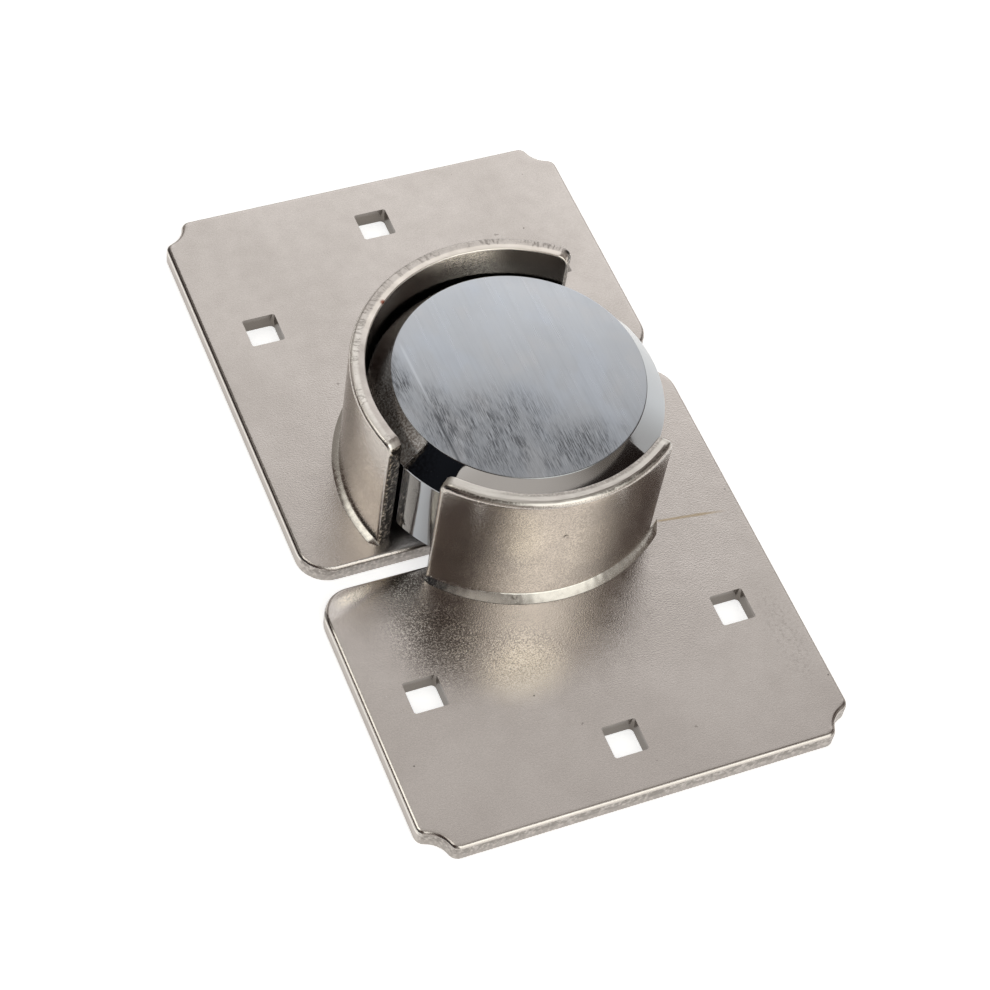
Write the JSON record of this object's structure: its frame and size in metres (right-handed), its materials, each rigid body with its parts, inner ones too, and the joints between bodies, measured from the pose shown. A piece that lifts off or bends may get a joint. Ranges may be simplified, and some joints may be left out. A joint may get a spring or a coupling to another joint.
{
  "type": "hasp lock",
  "caption": "Two-part steel hasp with curved guards and square bolt holes, closed by a round hidden-bar lock whose key plug frees a sliding bar.",
  "frame": {"origin": "middle of the hasp, in the plane of the plates' backs", "axes": "+Z out of the door towards the user, +Y along the hasp towards the upper plate, +X towards the key side"},
  "size_m": [0.111, 0.197, 0.043],
  "materials": {
    "plate_steel": "fine blasted grain under dull nickel plating",
    "guard_steel": "dull nickel plating, rough sheared rim",
    "weld_metal": "plated weld bead",
    "lock_steel": "satin face, polished chamfer and side",
    "bar_steel": "hardened and polished",
    "housing_steel": "turned",
    "pin_steel": "plain",
    "brass": "turned brass"
  },
  "bodies": {
    "hasp_and_lock": {"upper_plate": "plate_steel", "upper_lug": "plate_steel", "upper_lug_weld": "weld_metal", "upper_guard": "guard_steel", "upper_guard_weld": "weld_metal", "lower_plate": "plate_steel", "lower_lug": "plate_steel", "lower_lug_weld": "weld_metal", "lower_guard": "guard_steel", "lower_guard_weld": "weld_metal", "lock_body": "lock_steel", "stop_pin": "pin_steel"},
    "bar_and_housing": {"shackle_bar": "bar_steel", "bar_cross_pin": "pin_steel", "cylinder_housing": "housing_steel", "spring_cover": "brass", "drill_pins": "pin_steel", "driver_pins": "brass", "pin_springs": "pin_steel"},
    "key_plug": {"cylinder_plug": "brass", "key_pins": "brass", "plug_cam": "bar_steel", "cam_screw": "pin_steel"}
  },
  "joints": [
    {"name": "bar_slide", "type": "slide", "parent": "hasp_and_lock", "child": "bar_and_housing", "axis": [1, 0, 0], "range_m": [0, 0.0225]},
    {"name": "plug_turn", "type": "hinge", "parent": "bar_and_housing", "child": "key_plug", "pos_m": [0.03, 0, 0.0188], "axis": [1, 0, 0], "range_deg": [0, 180]}
  ]
}
